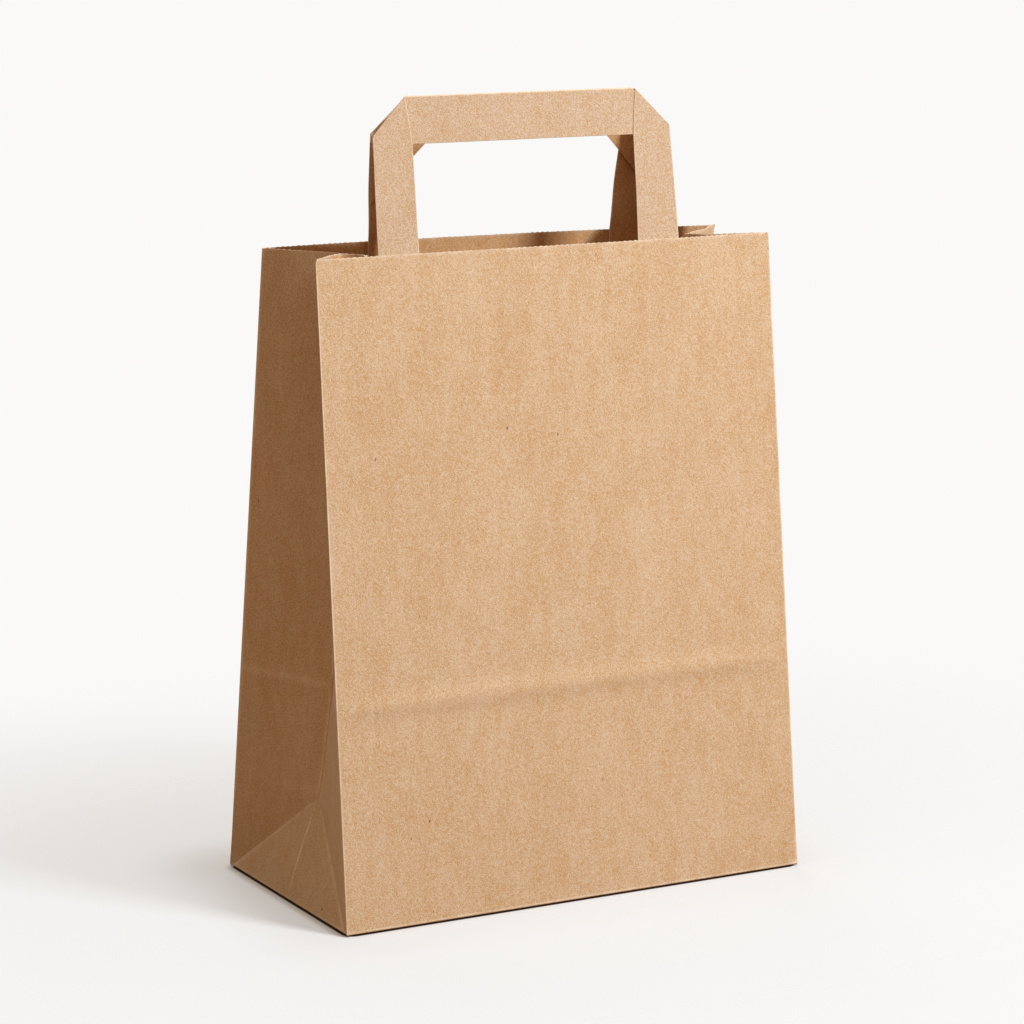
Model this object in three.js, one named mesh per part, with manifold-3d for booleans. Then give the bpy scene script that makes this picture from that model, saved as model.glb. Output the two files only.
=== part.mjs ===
// Flat handle paper bag: a block bottom bag of brown kraft paper with folded sides,
// two flat paper handles glued inside the mouth and the two glued sheets that hold them.
// Units are millimetres. +X runs along the wide front, +Y to the rear and +Z up.
// The origin lies on the floor under the middle of the bag's base.

import * as THREE from 'three';
import { mergeVertices } from 'three/addons/utils/BufferGeometryUtils.js';
import Module from 'manifold-3d';

const wasm = await Module();
wasm.setup();

// Bag body
const baseWidth = 260;
const baseDepth = 140;
const mouthWidth = 258.5;
const panelLength = 329;
const frontLean = 33;
const rearLean = 51;
const rearBow = 8;
const paper = 0.2;
const foldRadius = 0.8;

// Folded sides: the flat base triangle under its apex, and the gap inside the crease above it
const apexHeight = 50;
const apexInset = 18;
const triangleGap = 6;
const creaseHalf = 0.8;
const creaseRadius = 0.3;

// The two halves of each folded side at the mouth, from the outer corner to the crease.
// Each pair is the distance inward and the share of the mouth's depth from front to rear.
const leftFrontFold = [[10.7, 0.18], [17.7, 0.3], [22.4, 0.336], [24.6, 0.275], [28.6, 0.185], [30.6, 0.08]];
const leftRearFold = [[12.2, 0.7], [23.6, 0.42], [26.2, 0.31], [30, 0.21], [32, 0.09]];
const rightFrontFold = [[14.7, 0.1], [30.7, 0.17], [38.8, 0.32]];
const rightRearFold = [[4.9, 0.95], [10, 0.82], [16.2, 0.688], [23.8, 0.577], [31.2, 0.479], [37.8, 0.345]];

// Soft level fold left by the bag lying flat
const ridgeHeight = 106;
const ridgeRise = 0.8;
const ridgeSpread = 7;

// Reach of the bottom flaps past the middle of the base
const flapOverlap = 12;

// Handles, folded from one flat strip each
const stripWidth = 23;
const stripThickness = 0.6;
const handleSpan = 168;
const handleShift = 10.2;
const handleCorner = 19.5;
const webSize = 9;
const legReach = 60;
const frontHandleRise = 74.5;
const rearHandleRise = 70;
const frontHandleLean = 8;
const rearHandleLean = 8.5;
const bowFade = 30;

// Glued sheets over the handle legs
const sheetThickness = 0.25;
const sheetHeight = 52;
const sheetDrop = 12;
const sheetMargin = 10;
const sheetRamp = 4;

// Space kept between neighbouring pieces
const clearance = 0.35;

// Sizes that follow from the ones above
const halfBase = baseWidth / 2;
const halfDepth = baseDepth / 2;
const halfMouth = mouthWidth / 2;
const frontHeight = Math.sqrt(panelLength ** 2 - frontLean ** 2);
const rearHeight = Math.sqrt(panelLength ** 2 - rearLean ** 2);
const mouthDepth = baseDepth - frontLean - rearLean;
const apexShare = apexHeight / frontHeight;
const undersideHeight = 2 * paper;
const floorHeight = 3 * paper;

// Smoothness of the mesh
const panelColumns = 10;
const foldColumns = 9;
const cornerPoints = 3;

const kraft = new THREE.MeshStandardMaterial({ color: 0xcfa477, roughness: 0.86, metalness: 0 });
const frontStrip = new THREE.MeshStandardMaterial({ color: 0xd4ab80, roughness: 0.84, metalness: 0 });
const rearStrip = new THREE.MeshStandardMaterial({ color: 0xd1a87d, roughness: 0.84, metalness: 0 });
const frontSheet = new THREE.MeshStandardMaterial({ color: 0xc99e70, roughness: 0.88, metalness: 0 });
const rearSheet = new THREE.MeshStandardMaterial({ color: 0xc69b6d, roughness: 0.88, metalness: 0 });

// A point part of the way between two numbers
function mix(from, to, share) {
  return from + (to - from) * share;
}

// Half the bag's width at a share of its height
function halfWidth(share) {
  return mix(halfBase, halfMouth, share);
}

// The soft level fold stands out a little from both panels
function ridgeAt(share) {
  const away = (share * frontHeight - ridgeHeight) / ridgeSpread;
  return ridgeRise * Math.exp(-away * away);
}

function frontLine(share) {
  return -halfDepth + frontLean * share - ridgeAt(share);
}

function rearLine(share) {
  return halfDepth - rearLean * share + ridgeAt(share);
}

// The rear panel bows outward toward the mouth, most in its middle
function bowAt(share, x) {
  return rearBow * share ** 3 * (1 - (x / halfWidth(share)) ** 2);
}

// Height above the floor of a point of the walls, from its share of the height and its depth
function heightOf(share, y) {
  const depthShare = (y - frontLine(share)) / (rearLine(share) - frontLine(share));
  return share * mix(frontHeight, rearHeight, depthShare);
}

// One half of a folded side: its end at the crease and how it strays from a straight line
function foldHalf(side, front, pairs) {
  const start = new THREE.Vector3(0, front ? 0 : mouthDepth, 0);
  const knots = pairs.map(([inward, depthShare]) => new THREE.Vector3(inward, depthShare * mouthDepth, 0));
  const curve = new THREE.CatmullRomCurve3([start, ...knots], false, 'centripetal');
  const end = knots[knots.length - 1];
  const points = curve.getSpacedPoints(foldColumns);
  const stray = points.map((point, index) => {
    const straight = start.clone().lerp(end, index / foldColumns);
    return point.clone().sub(straight);
  });
  return { side, front, end, stray };
}

const folds = {
  leftFront: foldHalf(-1, true, leftFrontFold),
  leftRear: foldHalf(-1, false, leftRearFold),
  rightFront: foldHalf(1, true, rightFrontFold),
  rightRear: foldHalf(1, false, rightRearFold),
};

// Where a half fold meets the crease, or the base triangle below the apex
function creaseEnd(fold, share) {
  const apexDepth = fold.front ? -creaseHalf : creaseHalf;
  if (share < apexShare) {
    const climb = share / apexShare;
    const corner = fold.front ? triangleGap - halfDepth : halfDepth - triangleGap;
    return { x: fold.side * (halfWidth(share) - apexInset * climb), y: mix(corner, apexDepth, climb) };
  }
  const climb = ((share - apexShare) / (1 - apexShare)) ** 0.8;
  const inset = mix(apexInset, fold.end.x, climb);
  const depth = mix(apexDepth, frontLine(1) + fold.end.y, climb);
  return { x: fold.side * (halfWidth(share) - inset), y: depth };
}

// Points of a half fold between the bag's corner and the crease
function foldPoints(fold, share) {
  const corner = {
    x: fold.side * halfWidth(share),
    y: fold.front ? frontLine(share) : rearLine(share),
  };
  const end = creaseEnd(fold, share);
  const weight = Math.max(0, (share - apexShare) / (1 - apexShare)) ** 1.7;
  const points = [];
  for (let index = 1; index < foldColumns; index += 1) {
    const along = index / foldColumns;
    points.push({
      x: mix(corner.x, end.x, along) - fold.side * fold.stray[index].x * weight,
      y: mix(corner.y, end.y, along) + fold.stray[index].y * weight,
    });
  }
  return { corner, points, end };
}

// Points of the front or rear panel between its two corners, from left to right
function panelPoints(front, share) {
  const points = [];
  for (let index = 1; index < panelColumns; index += 1) {
    const x = mix(-1, 1, index / panelColumns) * halfWidth(share);
    const y = front ? frontLine(share) : rearLine(share) + bowAt(share, x);
    points.push({ x, y });
  }
  return points;
}

// Rounds the marked corners of the walls' outer or inner outline, so both stay a paper apart
function roundedOutline(outline, isInner) {
  const rounded = [];
  outline.forEach((point, index) => {
    if (!point.radius) {
      rounded.push(new THREE.Vector2(point.x, point.y));
      return;
    }
    const before = outline[(index + outline.length - 1) % outline.length];
    const after = outline[(index + 1) % outline.length];
    const toBefore = new THREE.Vector2(before.x - point.x, before.y - point.y);
    const toAfter = new THREE.Vector2(after.x - point.x, after.y - point.y);
    const isConvex = toBefore.cross(toAfter) < 0;
    const slack = isConvex === isInner ? 0 : paper / Math.tan(toBefore.angleTo(toAfter) / 2);
    const longest = 0.45 * Math.min(toBefore.length(), toAfter.length());
    const reach = Math.min(point.radius + slack, longest);
    toBefore.setLength(reach);
    toAfter.setLength(reach);
    for (let step = 0; step <= cornerPoints; step += 1) {
      const share = step / cornerPoints;
      rounded.push(new THREE.Vector2(point.x, point.y)
        .addScaledVector(toBefore, (1 - share) ** 2)
        .addScaledVector(toAfter, share ** 2));
    }
  });
  return rounded;
}

// Moves a closed anticlockwise outline inward by the paper's thickness
function insetOutline(outline) {
  return outline.map((point, index) => {
    const before = outline[(index + outline.length - 1) % outline.length];
    const after = outline[(index + 1) % outline.length];
    const incoming = new THREE.Vector2(point.x - before.x, point.y - before.y).normalize();
    const outgoing = new THREE.Vector2(after.x - point.x, after.y - point.y).normalize();
    const normal = new THREE.Vector2(-incoming.y - outgoing.y, incoming.x + outgoing.x).normalize();
    const spread = Math.max(0.15, normal.y * outgoing.x - normal.x * outgoing.y);
    const move = paper / spread;
    return { ...point, x: point.x + normal.x * move, y: point.y + normal.y * move };
  });
}

// The bag's outline at a share of its height, anticlockwise from the front left corner
function outlineAt(share) {
  const leftFront = foldPoints(folds.leftFront, share);
  const leftRear = foldPoints(folds.leftRear, share);
  const rightFront = foldPoints(folds.rightFront, share);
  const rightRear = foldPoints(folds.rightRear, share);
  const marked = (point, radius) => ({ ...point, radius });
  const between = (one, other) => ({ x: (one.x + other.x) / 2, y: (one.y + other.y) / 2 });
  return [
    marked(leftFront.corner, foldRadius),
    ...panelPoints(true, share),
    marked(rightFront.corner, foldRadius),
    ...rightFront.points,
    marked(rightFront.end, creaseRadius),
    between(rightFront.end, rightRear.end),
    marked(rightRear.end, creaseRadius),
    ...rightRear.points.reverse(),
    marked(rightRear.corner, foldRadius),
    ...panelPoints(false, share).reverse(),
    marked(leftRear.corner, foldRadius),
    ...leftRear.points,
    marked(leftRear.end, creaseRadius),
    between(leftRear.end, leftFront.end),
    marked(leftFront.end, creaseRadius),
    ...leftFront.points.reverse(),
  ];
}

// Shares of the height at which the walls are drawn, closer together at the folds
function wallShares() {
  const low = undersideHeight / frontHeight;
  const ridge = ridgeHeight / frontHeight;
  const band = (1.5 * ridgeSpread) / frontHeight;
  const shares = [];
  const addRun = (from, to, count) => {
    for (let index = 0; index < count; index += 1) {
      shares.push(mix(from, to, index / count));
    }
  };
  addRun(low, apexShare, 6);
  addRun(apexShare, ridge - band, 3);
  addRun(ridge - band, ridge + band, 6);
  addRun(ridge + band, 1, 9);
  shares.push(1);
  return shares;
}

// The four walls and the floor plate as one closed thin shell
function shellGeometry() {
  const shares = wallShares();
  const sharp = shares.map((share) => outlineAt(share));
  const outer = sharp.map((outline) => roundedOutline(outline, false));
  const inner = sharp.map((outline) => roundedOutline(insetOutline(outline), true));
  const positions = [];
  const addRing = (outline, share, level) => {
    outline.forEach((point) => {
      positions.push(point.x, point.y, level ?? heightOf(share, point.y));
    });
  };
  outer.forEach((outline, row) => addRing(outline, shares[row], row === 0 ? undersideHeight : undefined));
  inner.forEach((outline, row) => addRing(outline, shares[row], row === 0 ? floorHeight : undefined));
  const count = outer[0].length;
  const rows = shares.length;
  const underside = 2 * rows * count;
  positions.push(0, 0, undersideHeight, 0, 0, floorHeight);
  const indices = [];
  const addQuad = (a, b, c, d) => indices.push(a, b, c, a, c, d);
  for (let column = 0; column < count; column += 1) {
    const next = (column + 1) % count;
    for (let row = 0; row < rows - 1; row += 1) {
      const low = row * count;
      const high = low + count;
      addQuad(low + column, low + next, high + next, high + column);
      const innerLow = (rows + row) * count;
      const innerHigh = innerLow + count;
      addQuad(innerLow + next, innerLow + column, innerHigh + column, innerHigh + next);
    }
    const rim = (rows - 1) * count;
    const innerRim = (2 * rows - 1) * count;
    addQuad(rim + column, rim + next, innerRim + next, innerRim + column);
    indices.push(next, column, underside);
    indices.push(rows * count + column, rows * count + next, underside + 1);
  }
  return indexedGeometry(positions, indices);
}

function indexedGeometry(positions, indices) {
  const geometry = new THREE.BufferGeometry();
  geometry.setAttribute('position', new THREE.Float32BufferAttribute(positions, 3));
  geometry.setIndex(indices);
  return geometry;
}

// A flat plate over the given corners, between two heights
function plateGeometry(corners, low, high) {
  const shape = new THREE.Shape(corners.map(([x, y]) => new THREE.Vector2(x, y)));
  const geometry = new THREE.ExtrudeGeometry(shape, { depth: high - low, bevelEnabled: false });
  geometry.translate(0, 0, low);
  return geometry;
}

// The outer flap from the front edge and the layer of both flaps above it
function flapGeometries() {
  const halfEdge = halfBase - foldRadius;
  const edge = halfDepth - foldRadius;
  const middle = halfEdge - edge;
  const overlap = paper / 10;
  const step = foldRadius / 2;
  const frontFlap = [
    [step - halfEdge, step - edge],
    [halfEdge - step, step - edge],
    [middle - flapOverlap - step, flapOverlap],
    [flapOverlap - middle + step, flapOverlap],
  ];
  const bothFlaps = [
    [-halfEdge, -edge],
    [halfEdge, -edge],
    [middle, 0],
    [halfEdge, edge],
    [-halfEdge, edge],
    [-middle, 0],
  ];
  return [
    plateGeometry(frontFlap, 0, paper + overlap),
    plateGeometry(bothFlaps, paper, undersideHeight + overlap),
  ];
}

// Turns a geometry into a closed solid, welding shared corners
function solidFrom(geometry) {
  geometry.deleteAttribute('normal');
  geometry.deleteAttribute('uv');
  const welded = mergeVertices(geometry, 1e-4);
  return new wasm.Manifold(new wasm.Mesh({
    numProp: 3,
    vertProperties: new Float32Array(welded.attributes.position.array),
    triVerts: new Uint32Array(welded.index.array),
  }));
}

function geometryFrom(solid) {
  const mesh = solid.getMesh();
  const geometry = indexedGeometry(Array.from(mesh.vertProperties), Array.from(mesh.triVerts));
  geometry.computeVertexNormals();
  return geometry;
}

function joined(geometries) {
  return geometries.map(solidFrom).reduce((sum, solid) => sum.add(solid));
}

// Turns the triangles of a closed surface outward
function facedOutward(positions, indices) {
  const corners = [0, 1, 2].map(() => new THREE.Vector3());
  let volume = 0;
  for (let index = 0; index < indices.length; index += 3) {
    corners.forEach((corner, step) => corner.fromArray(positions, 3 * indices[index + step]));
    volume += corners[0].dot(corners[1].cross(corners[2]));
  }
  if (volume < 0) {
    indices.reverse();
  }
  return indexedGeometry(positions, indices);
}

// A thin bent sheet on a grid; place gives the point of a column and row on face 0 or 1
function sheetGeometry(columns, rows, place) {
  const positions = [];
  const indices = [];
  const at = (column, row, face) => (face * (rows + 1) + row) * (columns + 1) + column;
  for (const face of [0, 1]) {
    for (let row = 0; row <= rows; row += 1) {
      for (let column = 0; column <= columns; column += 1) {
        positions.push(...place(column, row, face).toArray());
      }
    }
  }
  const addQuad = (a, b, c, d) => indices.push(a, b, c, a, c, d);
  for (let column = 0; column < columns; column += 1) {
    for (let row = 0; row < rows; row += 1) {
      addQuad(at(column, row, 0), at(column + 1, row, 0), at(column + 1, row + 1, 0), at(column, row + 1, 0));
      addQuad(at(column, row, 1), at(column, row + 1, 1), at(column + 1, row + 1, 1), at(column + 1, row, 1));
    }
    addQuad(at(column, 0, 0), at(column, 0, 1), at(column + 1, 0, 1), at(column + 1, 0, 0));
    addQuad(at(column, rows, 0), at(column + 1, rows, 0), at(column + 1, rows, 1), at(column, rows, 1));
  }
  for (let row = 0; row < rows; row += 1) {
    addQuad(at(0, row, 0), at(0, row + 1, 0), at(0, row + 1, 1), at(0, row, 1));
    addQuad(at(columns, row, 0), at(columns, row, 1), at(columns, row + 1, 1), at(columns, row + 1, 0));
  }
  return facedOutward(positions, indices);
}

// The panel a handle hangs on: its sign along Y, its rim, its lean and the handle's own sizes.
// Only the rear handle's inner corners are closed by folded webs.
const frontHanger = {
  sign: -1,
  rim: frontHeight,
  lean: frontLean,
  bow: 0,
  rise: frontHandleRise,
  webSides: [],
  handleLean: THREE.MathUtils.degToRad(frontHandleLean),
};
const rearHanger = {
  sign: 1,
  rim: rearHeight,
  lean: rearLean,
  bow: 1,
  rise: rearHandleRise,
  webSides: [-1, 1],
  handleLean: THREE.MathUtils.degToRad(rearHandleLean),
};

// A point beside the inner face of a panel, or above the mouth in line with its handle.
// Along is measured from the handle's middle, height from the mouth, depth from the panel.
function hangPoint(hanger, along, height, depth) {
  const x = -hanger.sign * (along - handleShift);
  const share = Math.min(1, (hanger.rim + height) / hanger.rim);
  const above = Math.max(0, height);
  const flat = THREE.MathUtils.smoothstep(above, 0, bowFade);
  const bow = hanger.bow * mix(bowAt(share, x), bowAt(share, handleShift), flat);
  const panel = halfDepth - hanger.lean * share + bow - above * Math.tan(hanger.handleLean);
  return new THREE.Vector3(x, hanger.sign * (panel - paper - clearance - depth), hanger.rim + height);
}

// One leg of a handle, from its glued lower end to the fold across its top corner
function legGeometry(hanger, side) {
  const columns = 6;
  const rows = 12;
  return sheetGeometry(columns, rows, (column, row, face) => {
    const inward = (column / columns) * stripWidth;
    const top = hanger.rise - Math.max(0, handleCorner - inward);
    const share = row / rows;
    const height = share < 0.5 ? mix(-legReach, 0, 2 * share) : mix(0, top, 2 * share - 1);
    return hangPoint(hanger, side * (handleSpan / 2 - inward), height, face * stripThickness);
  });
}

// The level bar of a handle, one layer behind its legs
function barGeometry(hanger) {
  const columns = 16;
  const rows = 6;
  return sheetGeometry(columns, rows, (column, row, face) => {
    const down = (row / rows) * stripWidth;
    const reach = handleSpan / 2 - Math.max(0, handleCorner - down);
    const depth = (face === 0 ? 0.75 : 2) * stripThickness;
    return hangPoint(hanger, mix(-reach, reach, column / columns), hanger.rise - down, depth);
  });
}

// The small folded web that closes an inner corner, behind the bar
function webGeometry(hanger, side) {
  const inside = handleSpan / 2 - stripWidth;
  const level = hanger.rise - stripWidth;
  const tuck = stripWidth / 4;
  const columns = 4;
  return sheetGeometry(columns, 1, (column, row, face) => {
    const share = column / columns;
    const across = mix(-tuck, webSize + 0.6 * tuck, share);
    const height = row === 0 ? tuck : mix(-webSize - tuck, tuck - 0.4 * tuck, share);
    const depth = (face === 0 ? 1.75 : 2.5) * stripThickness;
    return hangPoint(hanger, side * (inside - across), level + height, depth);
  });
}

function handleSolid(hanger) {
  return joined([
    legGeometry(hanger, -1),
    legGeometry(hanger, 1),
    barGeometry(hanger),
    ...hanger.webSides.map((side) => webGeometry(hanger, side)),
  ]);
}

// Columns of a glued sheet along the handle and how far each stands off the panel
function sheetStops() {
  const outside = handleSpan / 2;
  const inside = outside - stripWidth;
  const raised = stripThickness + clearance;
  const half = [
    [outside + sheetMargin, 0],
    [outside + clearance + sheetRamp, 0],
    [outside + clearance, raised],
    [mix(outside, inside, 1 / 3), raised],
    [mix(outside, inside, 2 / 3), raised],
    [inside - clearance, raised],
    [inside - clearance - sheetRamp, 0],
    [inside / 3, 0],
  ];
  const mirrored = half.map(([along, depth]) => [-along, depth]).reverse();
  return [...half, ...mirrored];
}

// The sheet glued over both legs of a handle, raised where it crosses them
function gluedSheetSolid(hanger) {
  const stops = sheetStops();
  const rows = 4;
  return solidFrom(sheetGeometry(stops.length - 1, rows, (column, row, face) => {
    const [along, depth] = stops[column];
    const height = -sheetDrop - (row / rows) * sheetHeight;
    return hangPoint(hanger, along, height, depth + face * sheetThickness);
  }));
}

function bodySolid() {
  return joined([shellGeometry(), ...flapGeometries()]);
}

function namedMesh(name, solid, material) {
  const mesh = new THREE.Mesh(geometryFrom(solid), material);
  mesh.name = name;
  return mesh;
}

const group = new THREE.Group();
group.name = 'flat_handle_paper_bag';
group.add(namedMesh('bag_body', bodySolid(), kraft));
group.add(namedMesh('front_handle', handleSolid(frontHanger), frontStrip));
group.add(namedMesh('rear_handle', handleSolid(rearHanger), rearStrip));
group.add(namedMesh('front_handle_patch', gluedSheetSolid(frontHanger), frontSheet));
group.add(namedMesh('rear_handle_patch', gluedSheetSolid(rearHanger), rearSheet));

export default group;
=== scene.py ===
"""Flat handle paper bag of brown kraft paper, standing on a pale studio floor.

The bag is one folded skin of paper with a block bottom and folded sides. Two flat paper
handles are glued inside its mouth under two sheets. Lengths are metres, +X runs along the
wide front, +Y to the rear and +Z up, and the origin is on the floor under the base.
"""

from __future__ import annotations

import logging
import math
from dataclasses import dataclass
from enum import Enum
from typing import Callable, NamedTuple, Sequence

import bmesh
import bpy
import numpy as np
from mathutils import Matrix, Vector, noise

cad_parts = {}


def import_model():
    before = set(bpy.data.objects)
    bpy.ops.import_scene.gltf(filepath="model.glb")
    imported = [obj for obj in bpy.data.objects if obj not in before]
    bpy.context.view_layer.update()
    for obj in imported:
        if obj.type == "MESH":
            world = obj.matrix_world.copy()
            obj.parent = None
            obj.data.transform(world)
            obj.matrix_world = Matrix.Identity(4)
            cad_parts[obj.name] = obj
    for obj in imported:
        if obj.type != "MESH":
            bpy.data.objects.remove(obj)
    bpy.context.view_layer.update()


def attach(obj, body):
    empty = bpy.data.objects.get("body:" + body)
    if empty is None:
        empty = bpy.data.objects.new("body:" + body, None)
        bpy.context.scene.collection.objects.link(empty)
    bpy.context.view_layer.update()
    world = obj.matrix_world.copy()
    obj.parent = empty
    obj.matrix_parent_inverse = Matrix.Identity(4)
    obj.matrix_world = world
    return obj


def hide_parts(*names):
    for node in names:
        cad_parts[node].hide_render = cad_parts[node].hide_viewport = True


LOG = logging.getLogger("paper_bag")
MM = 0.001

# Faces that meet at a larger angle than this, in degrees, keep a sharp edge between them.
SHARP_ANGLE = 48.0
# Distance of the extra points beside a sheet's edges.
EDGE_STOP = 0.45 * MM


def mix(start: float, end: float, share: float) -> float:
    """Return the value a share of the way from start to end."""
    return start + (end - start) * share


def smoothstep(low: float, high: float, value: float) -> float:
    """Return 0 at low, 1 at high and a smooth change between them."""
    share = min(1.0, max(0.0, (value - low) / (high - low)))
    return share * share * (3.0 - 2.0 * share)


def stops(count: int, length: float) -> list[float]:
    """Return shares from 0 to 1 in even steps, with one more stop just inside each end.

    Args:
        count: Number of even steps.
        length: Length that the shares divide.

    Returns:
        The shares in rising order.
    """
    share = EDGE_STOP / length
    return [0.0, share, *(step / count for step in range(1, count)), 1.0 - share, 1.0]


def bell(offset: float, spread: float) -> float:
    """Return a smooth hump of height 1 at offset 0."""
    return math.exp(-((offset / spread) ** 2))


def new_mesh(
    name: str,
    points: Sequence[Sequence[float]],
    edges: Sequence[Sequence[int]],
    faces: Sequence[Sequence[int]],
) -> bpy.types.Mesh:
    """Return a mesh with these points, edges and faces.

    Args:
        name: The mesh's name.
        points: Its points.
        edges: Pairs of point numbers.
        faces: Point numbers of each face.

    Returns:
        The new mesh.
    """
    mesh = bpy.data.meshes.new(name)
    mesh.from_pydata(points, edges, faces)
    return mesh


def show(name: str, data: bpy.types.ID) -> bpy.types.Object:
    """Put a new object into the scene.

    Args:
        name: The object's name.
        data: The mesh, light or camera that it holds.

    Returns:
        The new object.
    """
    made = bpy.data.objects.new(name, data)
    bpy.context.scene.collection.objects.link(made)
    return made


def aim(
    thing: bpy.types.Object,
    target: Sequence[float],
    azimuth: float,
    elevation: float,
    distance: float,
) -> None:
    """Place a camera or a lamp and turn it to its target.

    Args:
        thing: The object to place.
        target: Point that it looks at.
        azimuth: Degrees round from the bag's front, positive to the right.
        elevation: Degrees above level.
        distance: Distance from the target.
    """
    turn = math.radians(azimuth)
    tilt = math.radians(elevation)
    back = Vector((math.sin(turn) * math.cos(tilt), -math.cos(turn) * math.cos(tilt), math.sin(tilt)))
    thing.location = Vector(target) + back * distance
    thing.rotation_euler = back.to_track_quat("Z", "Y").to_euler()


class Signal:
    """A number socket of a shader or geometry graph that works in Python sums."""

    def __init__(self, graph: Graph, socket: bpy.types.NodeSocket) -> None:
        """Wrap a socket of a graph."""
        self.graph = graph
        self.socket = socket

    def _sum(self, operation: str, first: Value, second: Value) -> Signal:
        """Return a Math node's result for two values."""
        node = self.graph.node("ShaderNodeMath", {"operation": operation}, {0: first, 1: second})
        return Signal(self.graph, node.outputs[0])

    def __add__(self, other: Value) -> Signal:
        """Return the sum."""
        return self._sum("ADD", self, other)

    __radd__ = __add__

    def __sub__(self, other: Value) -> Signal:
        """Return the difference."""
        return self._sum("SUBTRACT", self, other)

    def __rsub__(self, other: Value) -> Signal:
        """Return the difference, with the other value first."""
        return self._sum("SUBTRACT", other, self)

    def __mul__(self, other: Value) -> Signal:
        """Return the product."""
        return self._sum("MULTIPLY", self, other)

    __rmul__ = __mul__

    def __truediv__(self, other: Value) -> Signal:
        """Return the quotient."""
        return self._sum("DIVIDE", self, other)

    def __rtruediv__(self, other: Value) -> Signal:
        """Return the quotient, with the other value first."""
        return self._sum("DIVIDE", other, self)

    def __pow__(self, other: Value) -> Signal:
        """Return the power."""
        return self._sum("POWER", self, other)

    def band(self, low: float, high: float) -> Signal:
        """Return a smooth change between two values.

        Args:
            low: Value at which the result is 0.
            high: Value at which the result is 1; it may lie below low.

        Returns:
            The result, held at 0 and 1 outside the two values.
        """
        settings = {"interpolation_type": "SMOOTHSTEP", "clamp": True}
        falling = low > high
        limits = {"From Min": min(low, high), "From Max": max(low, high)}
        ends = {"To Min": 1.0 if falling else 0.0, "To Max": 0.0 if falling else 1.0}
        node = self.graph.node("ShaderNodeMapRange", settings, {"Value": self, **limits, **ends})
        return Signal(self.graph, node.outputs[0])


Value = Signal | float


class Graph:
    """Adds nodes and links to one node tree."""

    def __init__(self, tree: bpy.types.NodeTree) -> None:
        """Start on a node tree."""
        self.tree = tree

    def node(
        self,
        kind: str,
        settings: dict | None = None,
        inputs: dict | None = None,
    ) -> bpy.types.Node:
        """Add a node.

        Args:
            kind: The node's type name.
            settings: Values of the node's own properties.
            inputs: Socket name or number to a constant, a Signal or a socket to link.

        Returns:
            The new node.
        """
        node = self.tree.nodes.new(kind)
        for name, value in (settings or {}).items():
            setattr(node, name, value)
        for key, value in (inputs or {}).items():
            if isinstance(value, Signal):
                value = value.socket
            if isinstance(value, bpy.types.NodeSocket):
                self.tree.links.new(value, node.inputs[key])
            else:
                node.inputs[key].default_value = value
        return node

    def signal(
        self,
        kind: str,
        output: str | int,
        settings: dict | None = None,
        inputs: dict | None = None,
    ) -> Signal:
        """Add a node and return one of its outputs as a Signal."""
        return Signal(self, self.node(kind, settings, inputs).outputs[output])

    def vector(self, operation: str, *values: object) -> bpy.types.NodeSocket:
        """Return a Vector Math node's vector for its values in order."""
        node = self.node("ShaderNodeVectorMath", {"operation": operation}, dict(enumerate(values)))
        return node.outputs[0]

    def stretched(self, scale: Sequence[float], turn: Sequence[float]) -> bpy.types.NodeSocket:
        """Return the object's coordinates, turned and then scaled along each axis.

        Args:
            scale: Factor along each axis.
            turn: Turn about each axis, in radians.

        Returns:
            The vector socket.
        """
        place = self.node("ShaderNodeTexCoord").outputs["Object"]
        settings = {"rotation_type": "EULER_XYZ"}
        turned = self.node("ShaderNodeVectorRotate", settings, {"Vector": place, "Rotation": turn})
        return self.vector("MULTIPLY", turned.outputs[0], scale)

    def noise(self, pattern: Pattern, turn: Sequence[float]) -> Signal:
        """Add a noise.

        Args:
            pattern: Its stretch, scale, detail and roughness.
            turn: Turn of the pattern about each axis, in radians.

        Returns:
            The noise, between 0 and 1 with its middle near 0.5.
        """
        inputs = {
            "Vector": self.stretched(pattern.stretch, turn),
            "Scale": pattern.scale,
            "Detail": pattern.detail,
            "Roughness": pattern.rough,
        }
        return self.signal("ShaderNodeTexNoise", "Fac", {"noise_dimensions": "3D"}, inputs)

    def background_ray(self) -> Signal:
        """Tell the rays that show the background.

        Returns:
            1 for a ray that comes straight, mirrored or through glass, else 0.
        """
        path = self.node("ShaderNodeLightPath").outputs
        rays = (Signal(self, path[f"Is {kind} Ray"]) for kind in ("Camera", "Glossy", "Transmission"))
        return self.signal("ShaderNodeClamp", 0, None, {"Value": sum(rays, 0.0)})

    def mixed(
        self, share: Value, first: object, second: object, blend: str = "MIX"
    ) -> bpy.types.NodeSocket:
        """Mix two colours.

        Args:
            share: Share of the way from the first to the second.
            first: The first colour.
            second: The second colour.
            blend: How the second is laid over the first.

        Returns:
            The colour socket.
        """
        settings = {"data_type": "RGBA", "blend_type": blend, "clamp_factor": True}
        node = self.node("ShaderNodeMix", settings, {0: share, 6: first, 7: second})
        return node.outputs[2]


def blank_graph(owner: bpy.types.Material | bpy.types.World) -> Graph:
    """Empty the node graph of a material or a world.

    Args:
        owner: The material or world.

    Returns:
        Its graph.
    """
    owner.use_nodes = True
    owner.node_tree.nodes.clear()
    return Graph(owner.node_tree)


class Pattern(NamedTuple):
    """A noise in the paper and how much it changes the tone and the relief."""

    scale: float
    detail: float
    rough: float
    tone: float
    relief: float = 0.0
    stretch: tuple[float, float, float] = (1.0, 1.0, 1.0)


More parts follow.
